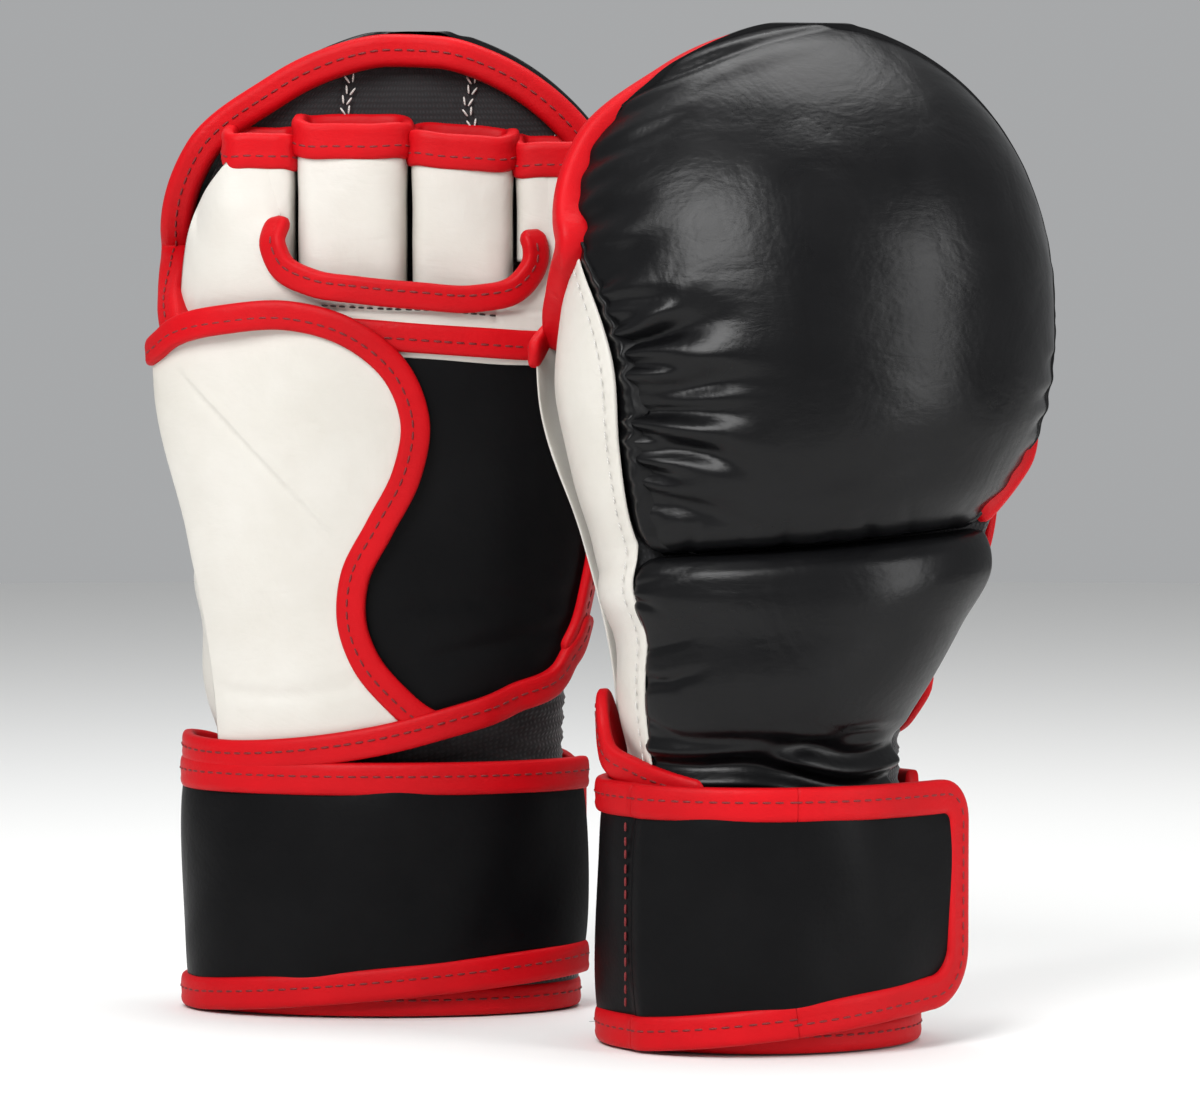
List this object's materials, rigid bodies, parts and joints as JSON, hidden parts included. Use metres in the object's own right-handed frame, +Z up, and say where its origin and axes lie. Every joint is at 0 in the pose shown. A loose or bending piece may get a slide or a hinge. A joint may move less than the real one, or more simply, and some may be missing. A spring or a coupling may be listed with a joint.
{
  "type": "mma glove pair",
  "caption": "Pair of padded open-palm grappling gloves with finger loops, edge tapes and wrap-round wrist straps, standing upright on their cuffs.",
  "frame": {"origin": "centre of the footprint of the standing pair, on the floor", "axes": "+Z up through the gloves, +X from the right-hand glove towards the left-hand glove, -Y towards the viewer who sees the right-hand glove's palm"},
  "size_m": [0.2532, 0.1712, 0.282],
  "materials": {
    "black_leather": "semi-gloss, smooth",
    "white_leather": "satin, smooth",
    "red_binding": "satin, stitched",
    "black_cloth": "matte knit",
    "padding_foam": "hidden padding",
    "hook_and_loop": "hook and loop tape"
  },
  "bodies": {
    "right_glove": {"right_cuff": "black_cloth", "right_cuff_binding": "red_binding", "right_finger_panel": "white_leather", "right_grip_binding": "red_binding", "right_hand_back_foam": "padding_foam", "right_hand_back_shell": "black_leather", "right_hem_binding": "red_binding", "right_hood_binding": "red_binding", "right_index_loop": "white_leather", "right_knuckle_foam": "padding_foam", "right_knuckle_shell": "black_leather", "right_lining": "black_cloth", "right_little_loop": "white_leather", "right_loop_bindings": "red_binding", "right_loop_patch": "hook_and_loop", "right_middle_loop": "white_leather", "right_palm_binding": "red_binding", "right_palm_flap": "white_leather", "right_palm_flap_binding": "red_binding", "right_palm_panel": "black_leather", "right_pinky_gusset": "white_leather", "right_ring_loop": "white_leather", "right_wrist_wrap": "black_leather", "right_wrist_wrap_bindings": "red_binding"},
    "right_strap": {"right_strap": "black_leather", "right_strap_bindings": "red_binding"},
    "right_strap_tip": {"right_strap_tip": "black_leather", "right_strap_tip_binding": "red_binding", "right_hook_patch": "hook_and_loop"},
    "left_glove": {"left_cuff": "black_cloth", "left_cuff_binding": "red_binding", "left_finger_panel": "white_leather", "left_grip_binding": "red_binding", "left_hand_back_foam": "padding_foam", "left_hand_back_shell": "black_leather", "left_hem_binding": "red_binding", "left_hood_binding": "red_binding", "left_index_loop": "white_leather", "left_knuckle_foam": "padding_foam", "left_knuckle_shell": "black_leather", "left_lining": "black_cloth", "left_little_loop": "white_leather", "left_loop_bindings": "red_binding", "left_loop_patch": "hook_and_loop", "left_middle_loop": "white_leather", "left_palm_binding": "red_binding", "left_palm_flap": "white_leather", "left_palm_flap_binding": "red_binding", "left_palm_panel": "black_leather", "left_pinky_gusset": "white_leather", "left_ring_loop": "white_leather", "left_wrist_wrap": "black_leather", "left_wrist_wrap_bindings": "red_binding"},
    "left_strap": {"left_strap": "black_leather", "left_strap_bindings": "red_binding"},
    "left_strap_tip": {"left_strap_tip": "black_leather", "left_strap_tip_binding": "red_binding", "left_hook_patch": "hook_and_loop"}
  },
  "joints": [
    {"name": "right_strap_hinge", "type": "hinge", "parent": "right_glove", "child": "right_strap", "pos_m": [-0.11316, 0.05664, 0.037], "axis": [0, 0, 1], "range_deg": [0, 105]},
    {"name": "right_strap_tip_bend", "type": "hinge", "parent": "right_strap", "child": "right_strap_tip", "pos_m": [-0.06193, 0.07619, 0.037], "axis": [0, 0, 1], "range_deg": [0, 60]},
    {"name": "left_strap_hinge", "type": "hinge", "parent": "left_glove", "child": "left_strap", "pos_m": [0.01059, -0.06827, 0.037], "axis": [0, 0, -1], "range_deg": [0, 105]},
    {"name": "left_strap_tip_bend", "type": "hinge", "parent": "left_strap", "child": "left_strap_tip", "pos_m": [0.05505, -0.08089, 0.037], "axis": [0, 0, -1], "range_deg": [0, 60]},
    {"name": "left_glove_lift", "type": "slide", "parent": "right_glove", "child": "left_glove", "axis": [0, 0, 1], "range_m": [0, 0.3]}
  ]
}
